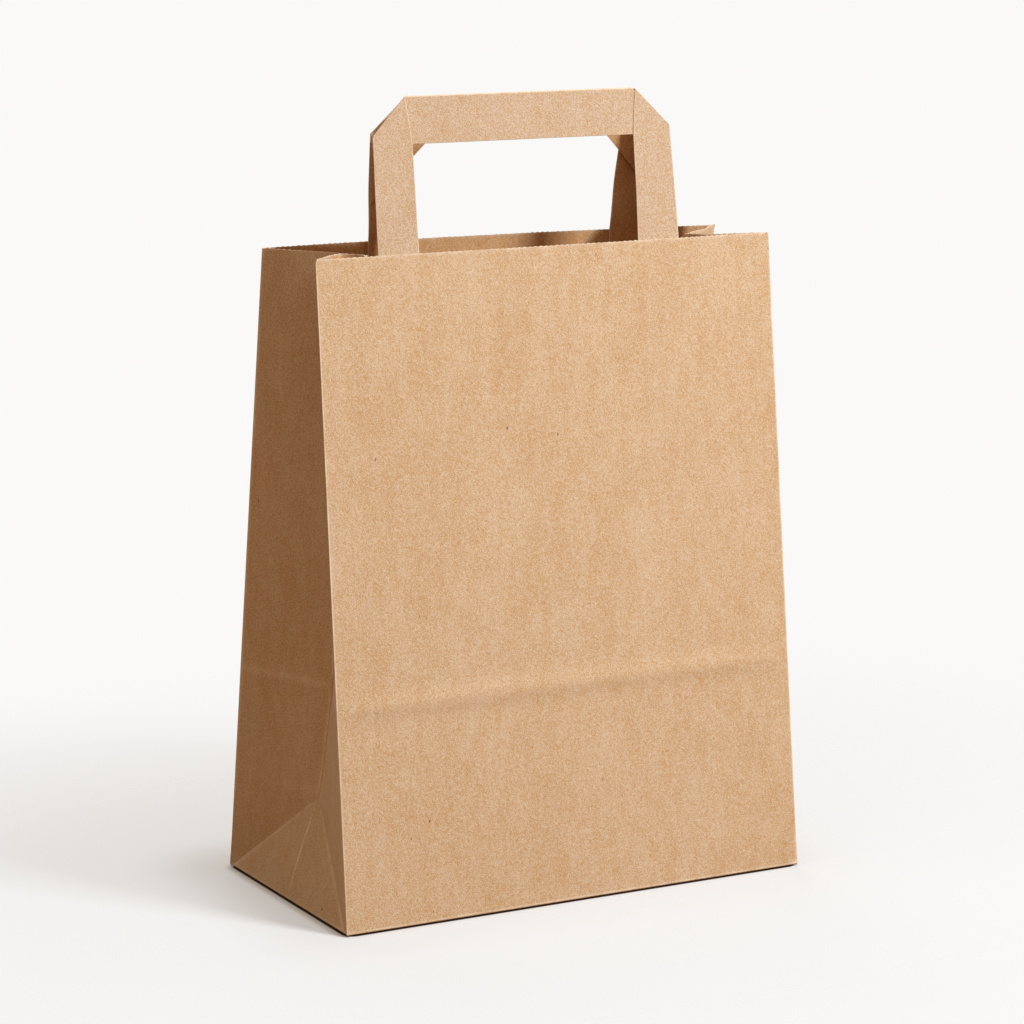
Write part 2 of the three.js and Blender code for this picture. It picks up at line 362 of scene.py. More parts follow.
# Stretch of the clouds and blotches, which run up the web of paper.
UPRIGHT = (1.0, 1.0, 0.36)
CLOUDS = Pattern(scale=34.0, detail=3.0, rough=0.55, tone=0.5, stretch=UPRIGHT)
BLOTCHES = Pattern(scale=150.0, detail=2.6, rough=0.6, tone=0.65, relief=0.35, stretch=UPRIGHT)
GRIT = Pattern(scale=1900.0, detail=1.5, rough=0.6, tone=2.9, relief=0.6)
FIBRES = Pattern(scale=3200.0, detail=1.0, rough=0.5, tone=3.3, relief=0.8, stretch=(1.0, 0.6, 0.14))
# Turns of the layers of fibres, in radians.
FIBRE_ANGLES = (0.35, 1.1, -0.6)


class Specks(NamedTuple):
    """Dark specks in the paper: how close together, large, rare, soft and dark they are."""

    scale: float = 110.0
    smallest: float = 0.035
    growth: float = 0.06
    rare: tuple[float, float] = (0.6, 0.95)
    core: float = 0.4
    strength: float = 0.85
    stretch: tuple[float, float, float] = (1.0, 1.0, 0.6)


class Rgb(NamedTuple):
    """A linear colour."""

    red: float
    green: float
    blue: float

    def socket(self) -> tuple[float, float, float, float]:
        """Return the colour with full alpha, as a socket wants it."""
        return (self.red, self.green, self.blue, 1.0)


@dataclass(frozen=True)
class PaperFinish:
    """Kraft paper: its fibres, worn folds with painted highlights, a painted warmer shade inside the
    bag, specks of bark and unevenness.
    """

    dark: Rgb
    light: Rgb
    # Pale colour laid on by the wear mask: real rubbing on edges and folds, and painted highlight
    # where the light catches the rim, the base fold and the triangle creases.
    worn_and_highlight: Rgb
    # Multiplied into the faces that look into the bag: painted warmer, darker shade for the light that
    # bounces and falls off inside it.
    inside: Rgb
    bark: Rgb = Rgb(0.16, 0.055, 0.014)
    specks: Specks = Specks()
    cloud: float = 1.0
    grain: float = 1.0
    seed: float = 0.0
    rub: float = 0.42
    rub_blotches: float = 1.6
    rub_grit: float = 0.6
    roughness: float = 0.84
    relief_depth: float = 0.24 * MM

    def material(self, name: str) -> bpy.types.Material:
        """Build the paper's material.

        Args:
            name: The material's name.

        Returns:
            The material, which reads the "wear" and "inner" attributes of the mesh it is put on.
        """
        made = bpy.data.materials.new(name)
        graph = blank_graph(made)
        turn = (self.seed, 0.0, 2.0 * self.seed)
        clouds = graph.noise(CLOUDS, turn)
        blotches = graph.noise(BLOTCHES, turn)
        grit = graph.noise(GRIT, turn)
        fibres = self._fibres(graph)
        tone = (
            0.5
            + (clouds - 0.5) * (CLOUDS.tone * self.cloud)
            + (blotches - 0.5) * (BLOTCHES.tone * self.cloud)
            + (grit - 0.5) * (GRIT.tone * self.grain)
            + (fibres - 0.5) * (FIBRES.tone * self.grain)
        )
        base = graph.mixed(tone, self.dark.socket(), self.light.socket())
        wear = graph.signal("ShaderNodeAttribute", "Fac", {"attribute_name": "wear"})
        inner = graph.signal("ShaderNodeAttribute", "Fac", {"attribute_name": "inner"})
        # Painted shade: faces that look into the bag are multiplied by the warmer, darker inside
        # colour.
        shaded_inside = graph.mixed(inner, base, self.inside.socket(), "MULTIPLY")
        speckled = graph.mixed(self._specks(graph), shaded_inside, self.bark.socket())
        # The wear mask lays the pale colour on, partly as rubbing and partly as painted highlight
        # along the rim, the base fold and creases.
        patches = (blotches - 0.35) * self.rub_blotches + (grit - 0.5) * self.rub_grit
        colour = graph.mixed((wear**2.0) * (self.rub + patches), speckled, self.worn_and_highlight.socket())
        rough = self.roughness + (blotches - 0.5) * 0.14 + (grit - 0.5) * 0.1
        relief = grit * GRIT.relief + fibres * FIBRES.relief + blotches * BLOTCHES.relief
        height = {"Strength": 0.75, "Distance": self.relief_depth, "Height": relief}
        bump = graph.node("ShaderNodeBump", None, height)
        inputs = {
            "Base Color": colour,
            "Roughness": rough,
            "Normal": bump.outputs[0],
            "Specular IOR Level": 0.22,
            "Sheen Weight": 0.06,
            "Sheen Roughness": 0.6,
        }
        shader = graph.node("ShaderNodeBsdfPrincipled", None, inputs)
        graph.node("ShaderNodeOutputMaterial", None, {"Surface": shader.outputs[0]})
        return made

    def _fibres(self, graph: Graph) -> Signal:
        """Add short fibres lying at several angles across the paper.

        Args:
            graph: The material's graph.

        Returns:
            The fibres, between 0 and 1.
        """
        total: Value = 0.0
        for angle in FIBRE_ANGLES:
            strands = graph.noise(FIBRES, (self.seed, angle, 0.3 * angle))
            total = strands / len(FIBRE_ANGLES) + total
        return total

    def _specks(self, graph: Graph) -> Signal:
        """Add the few dark specks of bark left in the pulp.

        Args:
            graph: The material's graph.

        Returns:
            The specks, 0 on plain paper.
        """
        specks = self.specks
        place = graph.stretched(specks.stretch, (self.seed, 0.0, 0.0))
        inputs = {"Vector": place, "Scale": specks.scale}
        cells = graph.node("ShaderNodeTexVoronoi", {"feature": "F1"}, inputs)
        distance = Signal(graph, cells.outputs["Distance"])
        channels = graph.node("ShaderNodeSeparateColor", None, {0: cells.outputs["Color"]})
        pick = Signal(graph, channels.outputs[0])
        size = Signal(graph, channels.outputs[1]) ** 3.0 * specks.growth + specks.smallest
        return (distance / size).band(1.0, specks.core) * pick.band(*specks.rare) * specks.strength


class Finish(Enum):
    """The papers of the bag, each value naming its material."""

    BODY = "kraft_body"
    STRIP = "kraft_strip"
    SHEET = "kraft_sheet"


Materials = dict[Finish, bpy.types.Material]
# Each inside colour is painted shade, multiplied into the faces that look into the bag, the rear
# handle's front face among them.
PAPERS = {
    Finish.BODY: PaperFinish(
        dark=Rgb(0.55, 0.345, 0.160),
        light=Rgb(0.73, 0.609, 0.458),
        worn_and_highlight=Rgb(0.92, 0.81, 0.66),
        inside=Rgb(0.96, 0.80, 0.63),
    ),
    Finish.STRIP: PaperFinish(
        dark=Rgb(0.51, 0.327, 0.163),
        light=Rgb(0.68, 0.585, 0.475),
        worn_and_highlight=Rgb(0.90, 0.79, 0.65),
        inside=Rgb(0.98, 0.78, 0.55),
        cloud=0.7,
        seed=0.4,
    ),
    Finish.SHEET: PaperFinish(
        dark=Rgb(0.54, 0.325, 0.142),
        light=Rgb(0.68, 0.575, 0.435),
        worn_and_highlight=Rgb(0.86, 0.73, 0.56),
        inside=Rgb(0.96, 0.80, 0.63),
        cloud=0.9,
        grain=1.1,
        seed=0.9,
    ),
}


class Corner(NamedTuple):
    """A point of a level outline of the walls."""

    x: float
    y: float
    radius: float = 0.0
    wear: float = 0.0


class Shape:
    """Collects points, faces, rubbing and painted highlight, and turns them into one mesh object."""

    EDGE_WEAR = 0.9
    EDGE_STEPS = 4
    FOLD_WEAR = 0.6
    FOLD_STEPS = 10
    FOLD_LENGTHS = 6

    def __init__(self) -> None:
        """Start with no points and no faces."""
        self.points: list[Sequence[float]] = []
        self.wear: list[float] = []
        self.inner: list[float] = []
        self.faces: list[tuple[int, ...]] = []

    def add_point(self, point: Sequence[float], wear: float = 0.0, inner: float = 0.0) -> int:
        """Add a point.

        Args:
            point: Its place.
            wear: How rubbed the paper is there, with painted highlight on the rim and folds, from 0 to
                1.
            inner: 1 if it faces into the bag, else 0.

        Returns:
            The point's number.
        """
        self.points.append(tuple(point))
        self.wear.append(wear)
        self.inner.append(inner)
        return len(self.points) - 1

    def add_loops(self, loops: Sequence[Sequence[int]]) -> None:
        """Join each closed loop to the next one with four-sided faces.

        Args:
            loops: Loops of point numbers, all of one length.
        """
        for low, high in zip(loops, loops[1:]):
            for index in range(len(low)):
                after = (index + 1) % len(low)
                self.faces.append((low[index], low[after], high[after], high[index]))

    def add_fan(self, loop: Sequence[int], centre: int) -> None:
        """Close a loop of point numbers with triangles round a centre point."""
        for index, point in enumerate(loop):
            self.faces.append((point, loop[(index + 1) % len(loop)], centre))

    def add_sheet(
        self,
        across: Sequence[float],
        up: Sequence[float],
        place: Callable[[float, float], Vector],
        normal: Vector,
        thickness: float,
        far_inner: float = 0.0,
    ) -> None:
        """Add a thin sheet with rounded edges.

        Args:
            across: Shares from 0 to 1 at which the columns of points lie.
            up: Shares from 0 to 1 at which the rows of points lie.
            place: Gives the point of the near face for two shares from 0 to 1.
            normal: Direction from the near face to the far face.
            thickness: Thickness of the sheet.
            far_inner: 1 if the far face looks into the bag, else 0.
        """
        columns = len(across) - 1
        rows = len(up) - 1
        near = [[place(c, r) for c in across] for r in up]
        border = [(0, c) for c in range(columns)] + [(r, columns) for r in range(rows)]
        border += [(rows, c) for c in range(columns, 0, -1)] + [(r, 0) for r in range(rows, 0, -1)]
        edges = set(border)
        numbers: list[dict[tuple[int, int], int]] = []
        for depth, inner in ((0.0, 0.0), (thickness, far_inner)):
            table = {}
            for r in range(rows + 1):
                for c in range(columns + 1):
                    wear = self.EDGE_WEAR if (r, c) in edges else 0.0
                    table[r, c] = self.add_point(near[r][c] + normal * depth, wear, inner)
            numbers.append(table)
        for face, table in enumerate(numbers):
            for r in range(rows):
                for c in range(columns):
                    quad = (table[r, c], table[r, c + 1], table[r + 1, c + 1], table[r + 1, c])
                    self.faces.append(quad if face == 0 else quad[::-1])
        loops = [[numbers[0][key] for key in border]]
        for step in range(1, self.EDGE_STEPS):
            angle = math.pi * step / self.EDGE_STEPS
            loop = []
            for r, c in border:
                inside = near[min(max(r, 1), rows - 1)][min(max(c, 1), columns - 1)]
                outward = near[r][c] - inside
                outward = (outward - normal * outward.dot(normal)).normalized()
                middle = near[r][c] + normal * (thickness / 2.0)
                offset = outward * math.sin(angle) - normal * math.cos(angle)
                loop.append(self.add_point(middle + offset * (thickness / 2.0), self.EDGE_WEAR))
            loops.append(loop)
        loops.append([numbers[1][key] for key in border])
        self.add_loops(loops)

    def add_roll(self, start: Vector, end: Vector, out: Vector, depth: Vector) -> None:
        """Add the rounded back of a fold: half a cylinder from start to end.

        Args:
            start: Point on the fold's axis at one end.
            end: Point on the fold's axis at the other end.
            out: Vector from the axis to the crown of the fold.
            depth: Vector from the axis to one side of the fold, as long as out.
        """
        loops = []
        for along in range(self.FOLD_LENGTHS + 1):
            centre = start.lerp(end, along / self.FOLD_LENGTHS)
            loop = []
            for step in range(self.FOLD_STEPS + 1):
                angle = math.pi * step / self.FOLD_STEPS
                point = centre + out * math.sin(angle) - depth * math.cos(angle)
                loop.append(self.add_point(point, self.FOLD_WEAR * math.sin(angle)))
            loops.append(loop)
        self.add_loops(loops)
        for loop in (loops[0], loops[-1]):
            middle = sum((Vector(self.points[i]) for i in loop), Vector()) / len(loop)
            self.add_fan(loop, self.add_point(middle))

    def build(self, name: str, finish: Finish, materials: Materials, node: str) -> None:
        """Make the mesh object, with normals outward, and hand it to the shared frame.

        Args:
            name: The piece's name.
            finish: The paper it is made of.
            materials: The material of each paper.
            node: The CAD node the piece stands for.
        """
        mesh = new_mesh(name, self.points, [], self.faces)
        for attribute, values in (("wear", self.wear), ("inner", self.inner)):
            mesh.attributes.new(attribute, "FLOAT", "POINT").data.foreach_set("value", values)
        edit = bmesh.new()
        edit.from_mesh(mesh)
        bmesh.ops.recalc_face_normals(edit, faces=edit.faces)
        edit.to_mesh(mesh)
        edit.free()
        place_piece(mesh, name, finish, materials, node)


def place_piece(
    mesh: bpy.types.Mesh,
    name: str,
    finish: Finish,
    materials: Materials,
    node: str,
) -> None:
    """Show a mesh as a smooth shaded piece that stands for a CAD node.

    Args:
        mesh: The piece's mesh.
        name: The piece's name.
        finish: The paper it is made of.
        materials: The material of each paper.
        node: The CAD node the piece stands for.
    """
    mesh.materials.clear()
    mesh.materials.append(materials[finish])
    mesh.polygons.foreach_set("use_smooth", [True] * len(mesh.polygons))
    mesh.set_sharp_from_angle(angle=math.radians(SHARP_ANGLE))
    mesh.update()
    piece = show(name, mesh)
    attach(piece, "root")
    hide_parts(node)
    LOG.info("%s: %d faces", name, len(mesh.polygons))


def smooth_path(knots: Sequence[tuple[float, float]], count: int) -> np.ndarray:
    """Return evenly spaced points of a smooth curve through the knots.

    Args:
        knots: Points the curve passes through.
        count: Number of equal steps along the curve.

    Returns:
        An array of count + 1 points.
    """
    given = np.array(knots, float)
    lengths = np.sqrt(np.linalg.norm(np.diff(given, axis=0), axis=1))
    times = np.concatenate([[0.0], np.cumsum(lengths)])
    slopes = np.gradient(given, times, axis=0)
    samples = 40 * len(given)
    fine = np.linspace(0.0, times[-1], samples)
    spans = np.clip(np.searchsorted(times, fine, side="right") - 1, 0, len(given) - 2)
    step = (times[spans + 1] - times[spans])[:, None]
    share = ((fine - times[spans])[:, None]) / step
    curve = (
        (2 * share**3 - 3 * share**2 + 1) * given[spans]
        + (share**3 - 2 * share**2 + share) * step * slopes[spans]
        + (3 * share**2 - 2 * share**3) * given[spans + 1]
        + (share**3 - share**2) * step * slopes[spans + 1]
    )
    travelled = np.concatenate([[0.0], np.cumsum(np.linalg.norm(np.diff(curve, axis=0), axis=1))])
    even = np.linspace(0.0, travelled[-1], count + 1)
    return np.stack([np.interp(even, travelled, curve[:, axis]) for axis in (0, 1)], axis=1)


@dataclass(frozen=True)
class BagSize:
    """Sizes of the bag's folded skin.

    The sole is the gap under its floor plate, and the burr is what the knife adds to its cut
    edge. The apex is the top of the flat triangle low in each side. The ridge is the soft
    level fold that runs right round, and the mark is a pale crease above each triangle. The
    blunt sizes belong to the base's corners, and the seam's edge and end are its distances
    from the rear panel's corner.
    """

    base_width: float = 260 * MM
    base_depth: float = 140 * MM
    front_mouth_width: float = 255.6 * MM
    rear_mouth_width: float = 260.6 * MM
    panel_length: float = 329 * MM
    front_lean: float = 33 * MM
    rear_lean: float = 51 * MM
    rear_lift: float = 1.7 * MM
    rear_tilt: float = 0.9 * MM
    rear_bow: float = 8 * MM
    paper: float = 0.25 * MM
    sole: float = 0.7 * MM
    burr: float = 0.1 * MM
    fold_radius: float = 0.5 * MM
    blunt_radius: float = 2.4 * MM
    blunt_height: float = 3.5 * MM
    apex_height: float = 50 * MM
    apex_inset: float = 18 * MM
    triangle_gap: float = 1.2 * MM
    crease_half: float = 0.8 * MM
    crease_radius: float = 0.3 * MM
    ridge_height: float = 110 * MM
    ridge_rise: float = 0.9 * MM
    ridge_spread: float = 5.5 * MM
    unevenness: float = 0.8 * MM
    ripple: float = 0.9 * MM
    ridge_dent: float = 0.35 * MM
    mark_rise: float = 4 * MM
    mark_spread: float = 2.6 * MM
    triangle_swell: float = 0.9 * MM
    triangle_crease: float = 0.22 * MM
    triangle_line: float = 0.35 * MM
    flap_inset: float = 7 * MM
    flap_lift: float = 0.05 * MM
    flap_overlap: float = 12 * MM
    tooth_pitch: float = 3.0 * MM
    tooth_height: float = 0.4 * MM
    tooth_root: float = 0.45 * MM
    tooth_tip: float = 0.12
    seam_foot: float = 3 * MM
    seam_head: float = 0.5 * MM
    seam_edge: float = 0.9 * MM
    seam_end: float = 16 * MM
    seam_gap: float = 0.02 * MM


# The halves of each folded side at the mouth, from the outer corner to the crease: the
# distance inward in millimetres and the share of the mouth's depth from front to rear.
LEFT_FRONT = (
    (0, 0), (10.7, 0.18), (17.2, 0.28), (21.6, 0.305), (25.4, 0.26), (28.8, 0.175), (30.6, 0.08)
)
LEFT_REAR = ((0, 1), (12.2, 0.7), (23.6, 0.42), (26.2, 0.31), (30, 0.21), (32, 0.09))
RIGHT_FRONT = ((0, 0), (14.7, 0.1), (30.7, 0.17), (38.8, 0.32))
RIGHT_REAR = (
    (0, 1), (4.9, 0.95), (10, 0.82), (16.2, 0.688), (23.8, 0.577), (31.2, 0.479), (37.8, 0.345)
)


class BagForm:
    """Works out where the folded skin of the bag runs at each height."""

    FOLD_COLUMNS = 22
    PANEL_COLUMNS = 56
    TRIANGLE_COLUMNS = 7
    ROUND_STEPS = 5
    MARK_WEAR = 0.6
    CREASE_WEAR = 0.8

    def __init__(self, size: BagSize) -> None:
        """Work out the heights and the folds of the mouth.

        Args:
            size: The bag's sizes.
        """
        self.size = size
        self.front_height = math.sqrt(size.panel_length**2 - size.front_lean**2)
        self.rear_height = math.sqrt(size.panel_length**2 - size.rear_lean**2)
        self.mouth_depth = size.base_depth - size.front_lean - size.rear_lean
        self.apex_share = size.apex_height / self.front_height
        self._halves = {
            (-1, True): self._half(LEFT_FRONT),
            (-1, False): self._half(LEFT_REAR),
            (1, True): self._half(RIGHT_FRONT),
            (1, False): self._half(RIGHT_REAR),
        }

    def _half(self, knots: Sequence[tuple[float, float]]) -> tuple[np.ndarray, np.ndarray]:
        """Work out one half of a folded side at the mouth.

        Args:
            knots: Distance inward in millimetres and share of the mouth's depth.

        Returns:
            Its end at the crease, and how it strays from a straight line.
        """
        points = [(inward * MM, share * self.mouth_depth) for inward, share in knots]
        curve = smooth_path(points, self.FOLD_COLUMNS)
        straight = np.linspace(curve[0], curve[-1], self.FOLD_COLUMNS + 1)
        return curve[-1], curve - straight

    def half_width(self, front: bool, share: float) -> float:
        """Return half the width of a panel at a share of its height."""
        mouth = self.size.front_mouth_width if front else self.size.rear_mouth_width
        return mix(self.size.base_width, mouth, share) / 2.0

    def ridge(self, share: float) -> float:
        """Return how far the soft level fold stands out at a share of the height."""
        offset = share * self.front_height - self.size.ridge_height
        return self.size.ridge_rise * bell(offset, self.size.ridge_spread)

    def front_line(self, share: float) -> float:
        """Return the depth of the front panel's corners."""
        return -self.size.base_depth / 2.0 + self.size.front_lean * share

    def rear_line(self, share: float) -> float:
        """Return the depth of the rear panel's corners."""
        return self.size.base_depth / 2.0 - self.size.rear_lean * share

    def line(self, front: bool, share: float) -> float:
        """Return the depth of a panel's corners."""
        return self.front_line(share) if front else self.rear_line(share)

    def blunt(self, share: float) -> float:
        """Return how blunt the corners are: 1 at the base, 0 from a little above it."""
        size = self.size
        return 1.0 - smoothstep(size.sole, size.sole + size.blunt_height, share * self.front_height)

    def bow(self, share: float, x: float) -> float:
        """Return how far the rear panel bows outward."""
        return self.size.rear_bow * share**3 * (1.0 - (x / self.half_width(False, share)) ** 2)

    def height(self, share: float, x: float, y: float) -> float:
        """Work out how high a point of the wall stands.

        Args:
            share: Share of the wall's height, 0 at the floor and 1 at the mouth.
            x: Place across the bag.
            y: Place from front to rear.

        Returns:
            The height above the floor.
        """
        size = self.size
        front_line = self.front_line(share)
        depth_share = (y - front_line) / (self.rear_line(share) - front_line)
        rear = self.rear_height + size.rear_lift - size.rear_tilt * x / (size.base_width / 2.0)
        return share * mix(self.front_height, rear, depth_share)

    def wave(self, share: float, x: float, front: bool) -> float:
        """Work out how far an uneven panel strays from flat, with its level fold.

        Args:
            share: Share of the wall's height, 0 at the floor and 1 at the mouth.
            x: Place across the bag.
            front: True for the front panel, False for the rear panel.

        Returns:
            The distance rearward.
        """
        edge = 1.0 - (x / self.half_width(front, share)) ** 6
        base = smoothstep(0.0, 0.16, share)
        place = Vector((x * 9.0, 3.1 if front else 7.7, share * 3.2))
        uneven = self.size.unevenness * noise.noise(place) * edge * base
        ridge = self.ridge(share) * (1.0 - (x / self.half_width(front, share)) ** 10)
        return uneven - ridge if front else uneven + ridge

    def crease(self, side: int, front: bool, share: float) -> tuple[float, float]:
        """Find where a half fold meets the crease, or the base triangle.

        Args:
            side: -1 for the left side, 1 for the right side.
            front: True for the half beside the front panel, False for the rear one.
            share: Share of the wall's height, 0 at the floor and 1 at the mouth.

        Returns:
            The place across the bag and from front to rear.
        """
        size = self.size
        apex_depth = -size.crease_half if front else size.crease_half
        if share < self.apex_share:
            climb = share / self.apex_share
            corner = size.base_depth / 2.0 - size.triangle_gap
            depth = mix(-corner if front else corner, apex_depth, climb)
            return side * (self.half_width(front, share) - size.apex_inset * climb), depth
        end = self._halves[side, front][0]
        climb = ((share - self.apex_share) / (1.0 - self.apex_share)) ** 0.8
        inset = mix(size.apex_inset, end[0], climb)
        depth = mix(apex_depth, self.front_line(1.0) + end[1], climb)
        return side * (self.half_width(front, share) - inset), depth

    def fold_points(self, side: int, front: bool, share: float) -> list[Corner]:
        """List the points of a half fold, from corner to crease.

        Args:
            side: -1 for the left side, 1 for the right side.
            front: True for the half beside the front panel, False for the rear one.
            share: Share of the wall's height, 0 at the floor and 1 at the mouth.

        Returns:
            The corner, the points between and the crease end.
        """
        size = self.size
        corner = (side * self.half_width(front, share), self.line(front, share))
        end = self.crease(side, front, share)
        above = max(0.0, (share - self.apex_share) / (1.0 - self.apex_share))
        stray = self._halves[side, front][1] * above**1.7
        radius = size.fold_radius + size.blunt_radius * self.blunt(share)
        points = [Corner(*corner, radius, 1.0)]
        mark = self.ridge(share) / size.ridge_rise
        over_apex = share * self.front_height - size.apex_height
        low_mark = 0.0 if front else bell(over_apex - size.mark_rise, size.mark_spread)
        for index in range(1, self.FOLD_COLUMNS):
            along = index / self.FOLD_COLUMNS
            belly = math.sin(math.pi * along)
            place = Vector((along * 2.2, share * 4.0, 5.0 * side + front))
            ripple = size.ripple * noise.noise(place) * smoothstep(0.16, 0.4, share)
            inward = stray[index][0] + belly * (ripple - size.ridge_dent * mark)
            x = mix(corner[0], end[0], along) - side * inward
            wear = self.MARK_WEAR * max(mark**4, low_mark * along)
            points.append(Corner(x, mix(corner[1], end[1], along) + stray[index][1], 0.0, wear))
        points.append(Corner(*end, size.crease_radius, self.CREASE_WEAR))
        return points

    def panel_points(self, front: bool, share: float) -> list[Corner]:
        """List the points of a panel between its corners.

        Args:
            front: True for the front panel, False for the rear panel.
            share: Share of the wall's height, 0 at the floor and 1 at the mouth.

        Returns:
            The points from left to right.
        """
        half = self.half_width(front, share)
        margin = (1.4 + 5.0 * self.blunt(share)) * MM
        shoulder = 1.0 - margin / half
        points = []
        for place in np.linspace(-shoulder, shoulder, self.PANEL_COLUMNS):
            x = float(place) * half
            points.append(Corner(x, self.panel_depth(front, x, share)))
        return points

    def triangle_points(self, side: int, share: float) -> list[Corner]:
        """List the points between the two crease ends of a side.

        Args:
            side: -1 for the left side, 1 for the right side.
            share: Share of the wall's height, 0 at the floor and 1 at the mouth.

        Returns:
            The points from front to rear.
        """
        first = self.crease(side, True, share)
        last = self.crease(side, False, share)
        climb = min(1.0, share / self.apex_share)
        width = last[1] - first[1]
        widest = 0.012
        line = min(widest, self.size.triangle_line / width)
        halves = [step / (2 * self.TRIANGLE_COLUMNS) for step in range(1, self.TRIANGLE_COLUMNS)]
        middle = [0.5 - 2.5 * line, 0.5 - line, 0.5, 0.5 + line, 0.5 + 2.5 * line]
        shares = [*halves, *middle, *(1.0 - share for share in reversed(halves))]
        marked = smoothstep(0.0, 0.15, climb) * smoothstep(1.0, 0.8, climb)
        points = []
        for along in shares:
            ridge = self.size.triangle_crease * marked * bell(along - 0.5, 1.6 * line)
            swell = self.size.triangle_swell * bell(along - 0.5, 0.1) * math.sin(math.pi * climb)
            x = mix(first[0], last[0], along) + side * (swell + ridge)
            # The pale line down the triangle's crease is partly wear and partly painted highlight on
            # its ridge.
            wear = marked if abs(along - 0.5) < 1.5 * line else 0.0
            points.append(Corner(x, mix(first[1], last[1], along), 0.0, wear))
        return points

    def outline(self, share: float) -> list[Corner]:
        """List the skin's outline, with its folds not yet rounded.

        Args:
            share: Share of the wall's height, 0 at the floor and 1 at the mouth.

        Returns:
            The points anticlockwise from the front left corner.
        """
        left_front = self.fold_points(-1, True, share)
        left_rear = self.fold_points(-1, False, share)
        right_front = self.fold_points(1, True, share)
        right_rear = self.fold_points(1, False, share)
        return [
            left_front[0],
            *self.panel_points(True, share),
            *right_front,
            *self.triangle_points(1, share),
            *right_rear[::-1],
            *self.panel_points(False, share)[::-1],
            *left_rear,
            *self.triangle_points(-1, share)[::-1],
            *left_front[:0:-1],
        ]

    def rounded(self, outline: Sequence[Corner]) -> list[Corner]:
        """Round the marked corners of an outline.

        Args:
            outline: The outline with its radii.

        Returns:
            The outline with arcs in place of those corners.
        """
        points = []
        for index, corner in enumerate(outline):
            if not corner.radius:
                points.append(corner)
                continue
            before = outline[index - 1]
            after = outline[(index + 1) % len(outline)]
            back = Vector((before.x - corner.x, before.y - corner.y))
            ahead = Vector((after.x - corner.x, after.y - corner.y))
            reach = min(corner.radius, 0.45 * back.length, 0.45 * ahead.length)
            back = back.normalized() * reach
            ahead = ahead.normalized() * reach
            for step in range(self.ROUND_STEPS + 1):
                along = step / self.ROUND_STEPS
                move = back * (1.0 - along) ** 2 + ahead * along**2
                points.append(Corner(corner.x + move.x, corner.y + move.y, 0.0, corner.wear))
        return points

    @staticmethod
    def inset(outline: Sequence[Corner], distance: float) -> list[Corner]:
        """Move an outline inward.

        Args:
            outline: The outline.
            distance: How far it moves; it moves outward if this is negative.

        Returns:
            The moved outline.
        """
        moved = []
        for index, corner in enumerate(outline):
            before = outline[index - 1]
            after = outline[(index + 1) % len(outline)]
            incoming = Vector((corner.x - before.x, corner.y - before.y)).normalized()
            outgoing = Vector((after.x - corner.x, after.y - corner.y)).normalized()
            normal = Vector((-incoming.y - outgoing.y, incoming.x + outgoing.x)).normalized()
            spread = max(0.4, normal.y * outgoing.x - normal.x * outgoing.y)
            x = corner.x + normal.x * distance / spread
            y = corner.y + normal.y * distance / spread
            moved.append(corner._replace(x=x, y=y))
        return moved

    def panel_depth(self, front: bool, x: float, share: float) -> float:
        """Return the depth of a panel's outer face at a place and a share of its height."""
        depth = self.line(front, share) + self.wave(share, x, front)
        return depth if front else depth + self.bow(share, x)


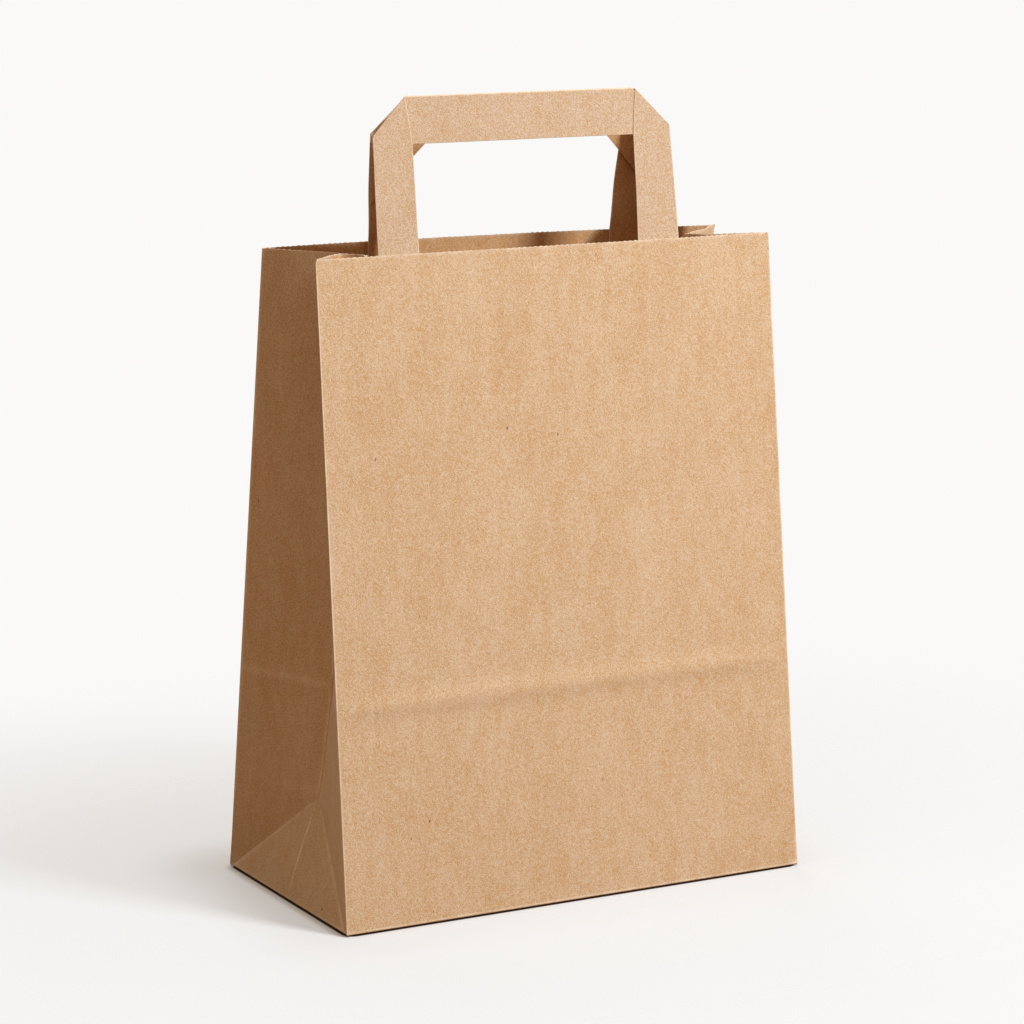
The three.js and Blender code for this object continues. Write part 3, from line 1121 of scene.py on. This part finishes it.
class BagBody:
    """The folded skin, its bottom flaps, its glued seam and the teeth of its mouth."""

    NODE = "bag_body"
    BEND = 0.9 * MM
    BEND_STEPS = 4
    # Distances from the ridge and from the mouth at which the levels lie closer together.
    RIDGE_ZONE = 16 * MM
    RIM_ZONE = 8 * MM
    RIM = 0.9 * MM
    LIP = 0.3 * MM
    # Painted highlight: a pale line along the fold just above the sole.
    SOLE_HIGHLIGHT = 1.05

    def __init__(self, form: BagForm, materials: Materials) -> None:
        """Keep the bag's form and its papers."""
        self.form = form
        self.materials = materials

    def _rows(self) -> list[tuple[float, float]]:
        """List the levels of the skin, lowest first.

        Returns:
            The share of the wall's height and the inset of each level.
        """
        size = self.form.size
        full = self.form.front_height
        bend = self.BEND
        rows = []
        for step in range(self.BEND_STEPS):
            angle = math.pi / 2 * step / self.BEND_STEPS
            rows.append((size.sole + bend * (1 - math.cos(angle)), bend * (1 - math.sin(angle))))
        low = size.sole + bend
        for high, count in (
            (size.sole + size.blunt_height, 5),
            (size.apex_height, 21),
            (size.ridge_height - self.RIDGE_ZONE, 16),
            (size.ridge_height + self.RIDGE_ZONE, 26),
            (full - self.RIM_ZONE, 64),
            (full - self.RIM, 4),
            (full - self.LIP, 2),
        ):
            rows += [(mix(low, high, step / count), 0.0) for step in range(count)]
            low = high
        rows.append((low, 0.0))
        return [(height / full, inset) for height, inset in rows]

    def skin(self) -> None:
        """Build the walls and the floor plate as one closed thin skin."""
        form = self.form
        size = form.size
        shape = Shape()
        outer: list[list[int]] = []
        inner: list[list[int]] = []
        for row, (share, inset) in enumerate(self._rows()):
            rounded = form.rounded(form.outline(share))
            below_mouth = (share - 1.0) * form.front_height
            # Paler levels at the fold above the sole and at the cut rim: partly wear, partly painted
            # highlight where the light catches these edges.
            level_wear_and_highlight = max(
                self.SOLE_HIGHLIGHT * bell(share * form.front_height - size.sole - self.BEND, 0.75 * MM),
                smoothstep(-1.3 * MM, -0.5 * MM, below_mouth),
            )
            burr = size.burr * smoothstep(-0.7 * MM, -0.3 * MM, below_mouth)
            for loops, distance, base in (
                (outer, inset - burr, size.sole),
                (inner, inset + size.paper + burr, size.sole + size.paper),
            ):
                outline = form.inset(rounded, distance) if distance else rounded
                loop = []
                for corner in outline:
                    height = base if row == 0 else max(base, form.height(share, corner.x, corner.y))
                    wear = max(corner.wear if loops is outer else 0.0, level_wear_and_highlight)
                    point = (corner.x, corner.y, height)
                    loop.append(shape.add_point(point, wear, float(loops is inner)))
                loops.append(loop)
        shape.add_loops(outer)
        shape.add_loops(inner)
        shape.add_loops([outer[-1], inner[-1]])
        shape.add_fan(outer[0], shape.add_point((0.0, 0.0, size.sole)))
        shape.add_fan(inner[0], shape.add_point((0.0, 0.0, size.sole + size.paper), 0.0, 1.0))
        shape.build("bag_skin", Finish.BODY, self.materials, self.NODE)

    def flaps(self) -> None:
        """Build the two trapezoid flaps folded and glued under the base."""
        size = self.form.size
        shape = Shape()
        edge = size.base_depth / 2 - size.flap_inset
        half = size.base_width / 2 - size.flap_inset
        for sign, level in ((-1.0, size.flap_lift), (1.0, size.sole / 2)):

            def place(across: float, along: float, sign: float = sign, level: float = level) -> Vector:
                """Find a point of the flap on this side of the base.

                Args:
                    across: Share of the way across the flap.
                    along: Share of the way from the base's edge inward.
                    sign: -1 for the front flap, 1 for the rear flap.
                    level: Height of the flap's lower face.

                Returns:
                    The point.
                """
                depth = mix(edge, -size.flap_overlap, along)
                reach = half - (edge - depth)
                return Vector((mix(-reach, reach, across), sign * depth, level))

            up = Vector((0, 0, 1))
            shape.add_sheet(stops(24, 2 * half), stops(10, edge), place, up, size.paper)
        shape.build("bottom_flaps", Finish.BODY, self.materials, self.NODE)

    def seam(self) -> None:
        """Build the glued overlap that runs up the rear panel beside its edge."""
        form = self.form
        size = form.size
        shape = Shape()

        def place(across: float, up: float) -> Vector:
            """Find a point of the overlap, just off the rear panel.

            Args:
                across: Share of the way across the sheet.
                up: Share of the way up the sheet.

            Returns:
                The point.
            """
            foot = size.seam_foot / form.rear_height
            share = mix(foot, 1.0 - size.seam_head / form.rear_height, up)
            x = -form.half_width(False, share) + mix(size.seam_edge, size.seam_end, across)
            y = form.panel_depth(False, x, share)
            return Vector((x, y + size.seam_gap, form.height(share, x, y)))

        columns = stops(8, 15 * MM)
        rows = stops(90, size.panel_length)
        shape.add_sheet(columns, rows, place, Vector((0, 1, 0)), size.paper)
        shape.build("rear_seam", Finish.BODY, self.materials, self.NODE)

    def teeth(self) -> None:
        """Build the fine teeth left by the knife round the mouth, repeated along its rim."""
        form = self.form
        size = form.size
        rim = form.inset(form.rounded(form.outline(1.0)), size.paper / 2)
        points = [(c.x, c.y, form.height(1.0, c.x, c.y) - size.tooth_root) for c in rim]
        edges = [(i, (i + 1) % len(points)) for i in range(len(points))]
        rim_line = show("rim_line", new_mesh("rim_line", points, edges, []))
        half = 0.5
        profile = [(-half, 0.0), (half, 0.0), (size.tooth_tip, 1.0), (-size.tooth_tip, 1.0)]
        corners = [(x, y, z) for y in (-half, half) for x, z in profile]
        sides = [(i, (i + 1) % 4, (i + 1) % 4 + 4, i + 4) for i in range(4)]
        faces = [(3, 2, 1, 0), (4, 5, 6, 7), *sides]
        tooth = show("tooth", new_mesh("tooth", corners, [], faces))
        values = {
            "Tooth": tooth,
            "Pitch": size.tooth_pitch,
            "Height": size.tooth_height,
            "Thickness": size.paper,
            "Seed": 7,
            "Paper": self.materials[Finish.BODY],
        }
        made = RepeatAlongLine().apply(rim_line, values)
        made.name = "mouth_teeth"
        # Every tooth is pale, partly as a cut edge and partly as painted highlight on the rim.
        wear = made.attributes.new("wear", "FLOAT", "POINT")
        wear.data.foreach_set("value", [1.0] * len(made.vertices))
        for helper in (rim_line, tooth):
            bpy.data.objects.remove(helper)
        place_piece(made, "mouth_teeth", Finish.BODY, self.materials, self.NODE)

    def build(self) -> None:
        """Build every piece of the body."""
        self.skin()
        self.flaps()
        self.seam()
        self.teeth()


class RepeatAlongLine:
    """A node tree that repeats one small form at an even pitch along a line."""

    # Shares of the given height between which the forms vary.
    LOWEST = 0.72
    TALLEST = 1.18

    def __init__(self) -> None:
        """Build the tree with its named inputs."""
        self.tree = bpy.data.node_groups.new("repeat_along_line", "GeometryNodeTree")
        self.sockets: dict[str, str] = {}
        face = self.tree.interface
        face.new_socket("Geometry", in_out="INPUT", socket_type="NodeSocketGeometry")
        for name, kind in (
            ("Tooth", "NodeSocketObject"),
            ("Pitch", "NodeSocketFloat"),
            ("Height", "NodeSocketFloat"),
            ("Thickness", "NodeSocketFloat"),
            ("Seed", "NodeSocketInt"),
            ("Paper", "NodeSocketMaterial"),
        ):
            self.sockets[name] = face.new_socket(name, in_out="INPUT", socket_type=kind).identifier
        face.new_socket("Geometry", in_out="OUTPUT", socket_type="NodeSocketGeometry")
        self._wire(Graph(self.tree))

    def _wire(self, graph: Graph) -> None:
        """Add the tree's nodes.

        Args:
            graph: The tree's graph.
        """
        given = graph.node("NodeGroupInput").outputs
        line = graph.node("GeometryNodeMeshToCurve", None, {"Mesh": given["Geometry"]})
        inputs = {"Curve": line.outputs[0], "Length": given["Pitch"]}
        evenly = graph.node("GeometryNodeResampleCurve", {"mode": "LENGTH"}, inputs)
        tangent = graph.node("GeometryNodeInputTangent").outputs[0]
        settings = {"axis": "X", "pivot_axis": "Z"}
        facing = graph.node("FunctionNodeAlignEulerToVector", settings, {"Vector": tangent})
        inputs = {2: self.LOWEST, 3: self.TALLEST, "Seed": given["Seed"]}
        jitter = graph.node("FunctionNodeRandomValue", {"data_type": "FLOAT"}, inputs)
        tall = Signal(graph, given["Height"]) * Signal(graph, jitter.outputs[1])
        inputs = {0: given["Pitch"], 1: given["Thickness"], 2: tall}
        scale = graph.node("ShaderNodeCombineXYZ", None, inputs)
        form = graph.node("GeometryNodeObjectInfo", None, {"Object": given["Tooth"]})
        inputs = {
            "Points": evenly.outputs[0],
            "Instance": form.outputs["Geometry"],
            "Rotation": facing.outputs[0],
            "Scale": scale.outputs[0],
        }
        repeated = graph.node("GeometryNodeInstanceOnPoints", None, inputs)
        plain = graph.node("GeometryNodeRealizeInstances", None, {"Geometry": repeated.outputs[0]})
        inputs = {"Geometry": plain.outputs[0], "Material": given["Paper"]}
        coated = graph.node("GeometryNodeSetMaterial", None, inputs)
        graph.node("NodeGroupOutput", None, {"Geometry": coated.outputs[0]})

    def apply(self, line: bpy.types.Object, values: dict[str, object]) -> bpy.types.Mesh:
        """Run the tree on an object and return the result as a plain mesh.

        Args:
            line: Object whose edges are the line.
            values: Input name to value.

        Returns:
            The repeated forms as one mesh.
        """
        modifier = line.modifiers.new("repeat", "NODES")
        modifier.node_group = self.tree
        for name, value in values.items():
            modifier[self.sockets[name]] = value
        line.update_tag()
        graph = bpy.context.evaluated_depsgraph_get()
        return bpy.data.meshes.new_from_object(
            line.evaluated_get(graph),
            preserve_all_data_layers=True,
            depsgraph=graph,
        )


class Side(Enum):
    """The two panels that carry a handle, with the sign of each along Y."""

    FRONT = -1
    REAR = 1


@dataclass(frozen=True)
class HandleSize:
    """Sizes of one handle, folded from a flat strip; its lean is in degrees."""

    side: Side
    rise: float
    lean: float
    web: float
    shift: float
    span: float
    width: float = 22.4 * MM
    skew: float = 0.8 * MM
    top_width: float = 20.9 * MM
    thickness: float = 0.55 * MM
    top_span: float = 165.1 * MM
    corner: float = 18 * MM
    reach: float = 60 * MM
    fade: float = 30 * MM
    gap: float = 0.35 * MM
    curl: float = 0.9 * MM
    web_thickness: float = 0.33 * MM
    web_edge: float = 0.4 * MM


HANDLES = (
    HandleSize(
        Side.FRONT,
        rise=74.7 * MM,
        lean=8.0,
        web=-1.0 * MM,
        shift=9.6 * MM,
        span=167.8 * MM,
    ),
    HandleSize(
        Side.REAR,
        rise=72.4 * MM,
        lean=8.5,
        web=10.0 * MM,
        shift=11.5 * MM,
        span=162.5 * MM,
    ),
)


@dataclass(frozen=True)
class SheetSize:
    """Sizes of the sheet glued over a handle's legs."""

    thickness: float = 0.25 * MM
    height: float = 52 * MM
    drop: float = 12 * MM
    margin: float = 10 * MM
    ramp: float = 4 * MM


class Handle:
    """A flat folded handle and the sheet that glues it inside the mouth."""

    def __init__(self, form: BagForm, size: HandleSize, materials: Materials) -> None:
        """Work out where the handle starts and which way it faces.

        Args:
            form: The bag's form.
            size: The handle's sizes.
            materials: The material of each paper.
        """
        self.form = form
        self.size = size
        self.materials = materials
        self.sign = size.side.value
        self.front = size.side is Side.FRONT
        self.full = form.front_height if self.front else form.rear_height
        self.rim = self.full + (0.0 if self.front else form.size.rear_lift)
        self.corner = size.corner + math.sqrt(2.0) * size.thickness
        self.name = size.side.name.lower() + "_handle"
        self.inward = Vector((0.0, -self.sign, 0.0))

    def point(self, along: float, height: float, depth: float) -> Vector:
        """Return a point beside the panel's inner face, or above the mouth in line with it.

        Args:
            along: Distance from the handle's middle, positive to the right as seen from outside.
            height: Height above the mouth.
            depth: Distance inward from the panel's inner face.

        Returns:
            The point.
        """
        size = self.size
        x = -self.sign * (along - size.shift)
        above = max(0.0, height)
        share = (self.rim + min(0.0, height)) / self.full
        near = self.form.panel_depth(self.front, x, share)
        middle = self.form.panel_depth(self.front, self.sign * size.shift, share)
        panel = mix(near, middle, smoothstep(0.0, size.fade, above))
        lean = above * math.tan(math.radians(size.lean))
        y = panel - self.sign * (lean + self.form.size.paper + size.gap + depth)
        return Vector((x, y, self.rim + height))

    def _curl(self, along: float, height: float) -> float:
        """Return how far the strip stands off flat."""
        place = Vector((along * 14.0, height * 16.0, 4.0 * self.sign))
        return self.size.curl * noise.noise(place) * smoothstep(0.0, self.size.fade, height)

    def _outer(self, height: float) -> float:
        """Return the distance from the handle's middle to a leg's outer edge."""
        climb = smoothstep(0.0, self.size.rise, max(0.0, height))
        return mix(self.size.span, self.size.top_span, climb) / 2.0

    def _leg_width(self, side: int, height: float) -> float:
        """Work out how wide a leg is; it narrows towards the corner.

        Args:
            side: -1 for the left leg, 1 for the right leg.
            height: Height above the mouth.

        Returns:
            The width.
        """
        size = self.size
        low = size.width - self.sign * side * size.skew
        bar_low = size.rise - size.width
        width = mix(low, size.top_width, min(1.0, max(0.0, height / bar_low)))
        return mix(width, size.corner, min(1.0, max(0.0, (height - bar_low) / size.width)))

    def _add_layer(
        self,
        shape: Shape,
        across: Sequence[float],
        up: Sequence[float],
        place: Callable[[float, float], Vector],
        thickness: float,
    ) -> None:
        """Add a sheet of paper whose far face looks into the bag."""
        shape.add_sheet(across, up, place, self.inward, thickness, far_inner=1.0)

    def _leg(self, shape: Shape, side: int) -> None:
        """Add one leg, from its glued end to the fold across its top corner.

        Args:
            shape: Shape to add to.
            side: -1 for the left leg, 1 for the right leg.
        """
        size = self.size
        mouth_share = 0.4

        def place(across: float, up: float) -> Vector:
            """Find a point of the leg.

            Args:
                across: Share of the way across the sheet.
                up: Share of the way up the sheet.

            Returns:
                The point.
            """
            if up < mouth_share:
                height = mix(-size.reach, 0.0, up / mouth_share)
            else:
                height = mix(0.0, size.rise, (up - mouth_share) / (1.0 - mouth_share))
            inward = across * self._leg_width(side, height)
            cut = max(0.0, self.corner - inward) * smoothstep(mouth_share, 0.9, up)
            height = min(height, size.rise - cut)
            along = side * (self._outer(height) - inward)
            return self.point(along, height, self._curl(along, height))

        rows = stops(60, size.reach + size.rise)
        self._add_layer(shape, stops(14, size.width), rows, place, size.thickness)

    def _bar(self, shape: Shape) -> None:
        """Add the level bar, one layer behind the legs.

        Args:
            shape: Shape to add to.
        """
        size = self.size

        def place(across: float, up: float) -> Vector:
            """Find a point of the bar.

            Args:
                across: Share of the way across the sheet.
                up: Share of the way up the sheet.

            Returns:
                The point.
            """
            down = (1.0 - up) * size.width
            reach = self._outer(size.rise) - max(0.0, self.corner - down)
            along = mix(-reach, reach, across)
            height = size.rise - down
            return self.point(along, height, size.thickness + self._curl(along, height))

        columns = stops(60, size.span)
        self._add_layer(shape, columns, stops(12, size.width), place, size.thickness)

    def _fold(self, shape: Shape, side: int) -> None:
        """Add the rounded fold across a top corner, round which the strip turns.

        Args:
            shape: Shape to add to.
            side: -1 for the left leg, 1 for the right leg.
        """
        size = self.size
        half = self._outer(size.rise)
        low = (side * half, size.rise - self.corner)
        high = (side * (half - self.corner), size.rise)
        ends = [self.point(*end, size.thickness + self._curl(*end)) for end in (low, high)]
        run = (ends[1] - ends[0]).normalized()
        out = run.cross(self.inward)
        out = out if out.z > 0 else -out
        trim = run * (0.6 * size.thickness)
        crown = out.normalized() * size.thickness
        shape.add_roll(ends[0] + trim, ends[1] - trim, crown, self.inward * size.thickness)

    def _web(self, shape: Shape, side: int) -> None:
        """Add the third layer behind a corner, whose slanting edge may show in the opening.

        Args:
            shape: Shape to add to.
            side: -1 for the left leg, 1 for the right leg.
        """
        size = self.size
        level = size.rise - size.width
        inside = self._leg_width(side, level)
        reach = inside + size.web + size.width
        edge = size.web_edge

        def place(across: float, up: float) -> Vector:
            """Find a point of the third layer.

            Args:
                across: Share of the way across the sheet.
                up: Share of the way up the sheet.

            Returns:
                The point.
            """
            start = mix(reach, size.corner + 2 * edge, up)
            inward = mix(edge, start, across)
            height = size.rise - mix(start, edge, across)
            along = side * (self._outer(height) - inward)
            return self.point(along, height, 2 * size.thickness + self._curl(along, height))

        self._add_layer(shape, stops(24, 2 * reach), stops(8, reach), place, size.web_thickness)

    def strip(self) -> None:
        """Build the folded strip."""
        shape = Shape()
        self._bar(shape)
        for side in (-1, 1):
            self._leg(shape, side)
            self._fold(shape, side)
            self._web(shape, side)
        shape.build(self.name + "_strip", Finish.STRIP, self.materials, self.name)

    def _lift(self, along: float, sheet: SheetSize) -> float:
        """Work out how far the glued sheet stands off the panel over a leg.

        Args:
            along: Distance from the handle's middle.
            sheet: The sheet's sizes.

        Returns:
            The distance from the panel.
        """
        size = self.size
        outside = size.span / 2 + size.gap
        inside = size.span / 2 - size.width - size.gap
        distance = max(abs(along) - outside, inside - abs(along), 0.0)
        return (size.thickness + size.gap) * (1.0 - smoothstep(0.0, sheet.ramp, distance))

    def glued_sheet(self, sheet: SheetSize) -> None:
        """Build the sheet glued over both legs.

        Args:
            sheet: The sheet's sizes.
        """
        size = self.size
        shape = Shape()
        half = size.span / 2 + sheet.margin

        def place(across: float, up: float) -> Vector:
            """Find a point of the glued sheet.

            Args:
                across: Share of the way across the sheet.
                up: Share of the way up the sheet.

            Returns:
                The point.
            """
            along = mix(-half, half, across)
            height = -sheet.drop - sheet.height * (1.0 - up)
            return self.point(along, height, self._lift(along, sheet))

        columns = stops(110, 2 * half)
        self._add_layer(shape, columns, stops(14, sheet.height), place, sheet.thickness)
        name = self.name + "_patch"
        shape.build(name + "_paper", Finish.SHEET, self.materials, name)

    def build(self) -> None:
        """Build the strip and its glued sheet."""
        self.strip()
        self.glued_sheet(SheetSize())


@dataclass(frozen=True)
class View:
    """The camera: where it looks from, how far off, what at and how narrow it is."""

    azimuth: float = -28.372
    elevation: float = 10.757
    distance: float = 1.80208
    lens: float = 124.233
    target: tuple[float, float, float] = (-0.0011, 0.0, 0.18723)
    sensor: float = 36.0
    nearest: float = 0.05
    farthest: float = 50.0

    def build(self) -> None:
        """Place the camera and make it the scene's own."""
        data = bpy.data.cameras.new("camera")
        data.lens = self.lens
        data.sensor_width = self.sensor
        data.clip_start = self.nearest
        data.clip_end = self.farthest
        camera = show("camera", data)
        aim(camera, self.target, self.azimuth, self.elevation, self.distance)
        bpy.context.scene.camera = camera


@dataclass(frozen=True)
class Lamp:
    """A soft rectangular light: the direction it shines from and its size and power."""

    name: str
    azimuth: float
    elevation: float
    distance: float
    width: float
    height: float
    power: float
    colour: Rgb
    target: tuple[float, float, float] = (0.0, 0.0, 0.18)

    def build(self) -> None:
        """Place the light."""
        data = bpy.data.lights.new(self.name, "AREA")
        data.shape = "RECTANGLE"
        data.size = self.width
        data.size_y = self.height
        data.energy = self.power
        data.color = self.colour
        aim(show(self.name, data), self.target, self.azimuth, self.elevation, self.distance)


@dataclass(frozen=True)
class Flag:
    """A small upright brown card that keeps the key light off what hangs behind it."""

    name: str
    depth: float
    outline: tuple[tuple[float, float], ...]
    colour: Rgb = Rgb(0.5, 0.3, 0.15)

    def build(self) -> None:
        """Hang the card, which the camera does not see."""
        made = bpy.data.materials.new(self.name)
        made.use_nodes = True
        shader = made.node_tree.nodes["Principled BSDF"]
        shader.inputs["Base Color"].default_value = self.colour.socket()
        points = [(x, self.depth, z) for x, z in self.outline]
        mesh = new_mesh(self.name, points, [], [range(len(points))])
        mesh.materials.append(made)
        card = show(self.name, mesh)
        card.visible_camera = False


@dataclass(frozen=True)
class Studio:
    """The pale floor, the white surround, the lights and the cards that shade them.

    Each fade gives two distances from the bag and the share of the floor that turns clear
    between them.
    """

    surround: Rgb = Rgb(0.955, 0.947, 0.938)
    floor: Rgb = Rgb(0.73, 0.80, 0.87)
    # Painted contact shade: the floor's colour at and just past the bag's edge.
    contact_shade: Rgb = Rgb(0.06, 0.04, 0.03)
    floor_half: float = 4.0
    footprint: tuple[float, float] = (0.13, 0.07)
    blunt: float = 6 * MM
    contact_shade_edge: tuple[float, float] = (-0.2 * MM, 0.6 * MM)
    bounce: Rgb = Rgb(0.35, 0.21, 0.115)
    fill: Rgb = Rgb(0.285, 0.175, 0.094)
    fades: tuple[tuple[float, float, float], ...] = (
        (0.0005, 0.006, 0.3),
        (0.0, 0.06, 0.3),
        (0.02, 0.45, 0.4),
    )
    lamps: tuple[Lamp, ...] = (
        Lamp(
            "key",
            azimuth=30.0,
            elevation=38.0,
            distance=2.3,
            width=0.48,
            height=0.48,
            power=45.6,
            colour=Rgb(1.0, 0.99, 0.98),
        ),
        Lamp(
            "overhead",
            azimuth=-35.0,
            elevation=76.0,
            distance=1.8,
            width=1.6,
            height=1.2,
            power=10.8,
            colour=Rgb(1.0, 0.95, 0.88),
        ),
        Lamp(
            "back",
            azimuth=170.0,
            elevation=42.0,
            distance=2.2,
            width=1.2,
            height=1.2,
            power=12.0,
            colour=Rgb(1.0, 0.93, 0.84),
        ),
    )
    flags: tuple[Flag, ...] = (
        Flag(
            "flag_right",
            0.008,
            (
                (0.062, 0.328), (0.120, 0.328), (0.120, 0.342), (0.104, 0.342),
                (0.104, 0.388), (0.076, 0.388), (0.076, 0.345),
            ),
        ),
        Flag(
            "flag_left",
            0.008,
            (
                (-0.117, 0.326), (-0.054, 0.326), (-0.054, 0.395),
                (-0.065, 0.395), (-0.065, 0.340), (-0.117, 0.340),
            ),
        ),
    )

    def _world(self) -> None:
        """Light the scene dimly and show a white surround behind it."""
        world = bpy.data.worlds.new("studio")
        graph = blank_graph(world)
        seen = graph.background_ray()
        glow, white = (
            graph.node("ShaderNodeBackground", None, {"Color": tint.socket(), "Strength": 1.0})
            for tint in (self.fill, self.surround)
        )
        inputs = {0: seen, 1: glow.outputs[0], 2: white.outputs[0]}
        both = graph.node("ShaderNodeMixShader", None, inputs)
        graph.node("ShaderNodeOutputWorld", None, {"Surface": both.outputs[0]})
        bpy.context.scene.world = world

    def _floor(self) -> None:
        """Lay the floor, painted dark as contact shade under the bag's edge and fading into the
        surround away from it.
        """
        made = bpy.data.materials.new("studio_floor")
        graph = blank_graph(made)
        flat = graph.vector("ABSOLUTE", graph.node("ShaderNodeTexCoord").outputs["Object"])
        core = tuple(half - self.blunt for half in self.footprint)
        past = graph.vector("SUBTRACT", flat, (*core, 0.0))
        outside = graph.vector("MAXIMUM", past, (0.0, 0.0, 0.0))
        settings = {"operation": "LENGTH"}
        away = graph.signal("ShaderNodeVectorMath", "Value", settings, {0: outside}) - self.blunt
        seen = graph.background_ray()
        # Painted contact shade: the floor turns dark within the footprint and just past its edge.
        clear_of_bag = away.band(*self.contact_shade_edge)
        colour = graph.mixed(clear_of_bag, self.contact_shade.socket(), self.floor.socket())
        inputs = {"Base Color": colour, "Roughness": 0.9, "Specular IOR Level": 0.1}
        pale = graph.node("ShaderNodeBsdfPrincipled", None, inputs)
        dim = graph.node("ShaderNodeBsdfDiffuse", None, {"Color": self.bounce.socket()})
        clear = graph.node("ShaderNodeBsdfTransparent")
        fade = sum((away.band(near, far) * share for near, far, share in self.fades), 0.0)
        inputs = {0: fade, 1: pale.outputs[0], 2: clear.outputs[0]}
        shown = graph.node("ShaderNodeMixShader", None, inputs)
        inputs = {0: seen, 1: dim.outputs[0], 2: shown.outputs[0]}
        both = graph.node("ShaderNodeMixShader", None, inputs)
        graph.node("ShaderNodeOutputMaterial", None, {"Surface": both.outputs[0]})
        far = self.floor_half
        corners = [(-far, -far, 0), (far, -far, 0), (far, far, 0), (-far, far, 0)]
        mesh = new_mesh("studio_floor", corners, [], [(0, 1, 2, 3)])
        mesh.materials.append(made)
        show("studio_floor", mesh)

    def build(self) -> None:
        """Build the floor, the surround and the lights."""
        self._world()
        self._floor()
        for piece in (*self.lamps, *self.flags):
            piece.build()


def main() -> None:
    """Build the bag, the studio and the camera."""
    logging.basicConfig(level=logging.INFO, format="%(name)s: %(message)s")
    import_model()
    View().build()
    materials = {finish: paper.material(finish.value) for finish, paper in PAPERS.items()}
    form = BagForm(BagSize())
    BagBody(form, materials).build()
    for size in HANDLES:
        Handle(form, size, materials).build()
    Studio().build()
    bpy.context.scene.view_settings.view_transform = "Standard"


if __name__ == "__main__":
    main()
